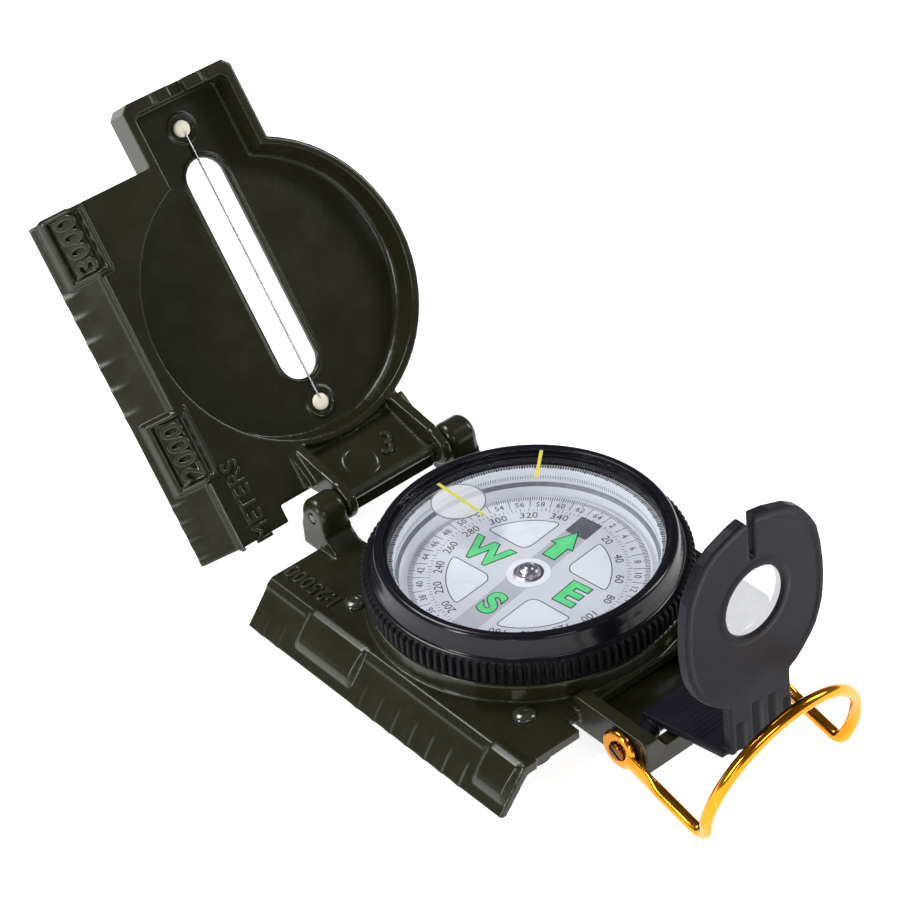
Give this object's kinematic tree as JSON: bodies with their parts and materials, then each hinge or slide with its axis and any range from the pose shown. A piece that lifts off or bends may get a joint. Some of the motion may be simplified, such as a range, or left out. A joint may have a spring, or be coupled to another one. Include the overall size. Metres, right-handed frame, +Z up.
{
  "type": "sighting compass",
  "caption": "Folding sighting compass with a floating card, knurled rotating bezel, hinged slotted cover with sighting wire, ruler bevel, folding lens sight and wire thumb loop.",
  "frame": {"origin": "on the dial axis at the flat underside of the bottom cover plate, where the compass stands", "axes": "+Y is the sighting direction, towards the cover hinge; +X is to the right when sighting, away from the ruler bevel; +Z is up out of the dial"},
  "size_m": [0.0583, 0.1456, 0.0669],
  "materials": {
    "olive_casting": "satin olive drab enamel over a fine cast texture",
    "olive_rivet": "satin olive drab enamel",
    "steel": "bright drawn steel",
    "black_rubber": "matte moulded rubber",
    "gold_metal": "polished gold-coloured anodised wire",
    "white_plastic": "printed satin white",
    "crystal": "clear polished",
    "yellow_paint": "luminous yellow paint",
    "luminous_paint": "pale luminous compound",
    "black_metal": "black anodised satin with a knurled edge",
    "magnet_steel": "plain ground",
    "chrome_hub": "polished",
    "black_plastic": "matte moulded"
  },
  "bodies": {
    "base": {"base_casting": "olive_casting", "bottom_cover": "olive_casting", "bottom_screw_1": "steel", "bottom_screw_2": "steel", "bottom_screw_3": "steel", "foot_front_left": "black_rubber", "foot_front_right": "black_rubber", "foot_rear_left": "black_rubber", "foot_rear_right": "black_rubber", "rivet_front_left": "olive_rivet", "rivet_front_right": "olive_rivet", "rivet_rear_left": "olive_rivet", "rivet_rear_right": "olive_rivet", "hinge_pin": "steel", "lens_arm_pin": "steel", "loop_screw_left": "gold_metal", "loop_screw_right": "gold_metal", "capsule_cup": "white_plastic", "pivot_post": "steel", "fixed_crystal": "crystal", "magnifier_disc": "crystal", "fixed_index_line": "yellow_paint", "bezel_snap_ring": "steel"},
    "bezel": {"bezel_ring": "black_metal", "bezel_crystal": "crystal", "luminous_line": "luminous_paint"},
    "card": {"compass_card": "white_plastic", "magnet_bar": "magnet_steel", "jewel_hub": "chrome_hub"},
    "cover": {"cover_casting": "olive_casting", "luminous_dot_upper": "luminous_paint", "luminous_dot_lower": "luminous_paint", "sighting_wire": "steel"},
    "lens_arm": {"lens_arm": "black_plastic", "sight_lens": "crystal"},
    "thumb_loop": {"thumb_loop": "gold_metal"}
  },
  "joints": [
    {"name": "cover_hinge", "type": "hinge", "parent": "base", "child": "cover", "pos_m": [0, 0.03385, 0.0123], "axis": [1, 0, 0], "range_deg": [-53, 126.3]},
    {"name": "bezel_turn", "type": "hinge", "parent": "base", "child": "bezel", "pos_m": [0, 0, 0.0145], "axis": [0, 0, 1], "continuous": true},
    {"name": "card_turn", "type": "hinge", "parent": "base", "child": "card", "pos_m": [0, 0, 0.0109], "axis": [0, 0, 1], "continuous": true},
    {"name": "lens_arm_fold", "type": "hinge", "parent": "base", "child": "lens_arm", "pos_m": [0, -0.0353, 0.0062], "axis": [1, 0, 0], "range_deg": [-88, 0]},
    {"name": "thumb_loop_swing", "type": "hinge", "parent": "base", "child": "thumb_loop", "pos_m": [0, -0.0353, 0.0062], "axis": [1, 0, 0], "range_deg": [-18, 75]}
  ]
}
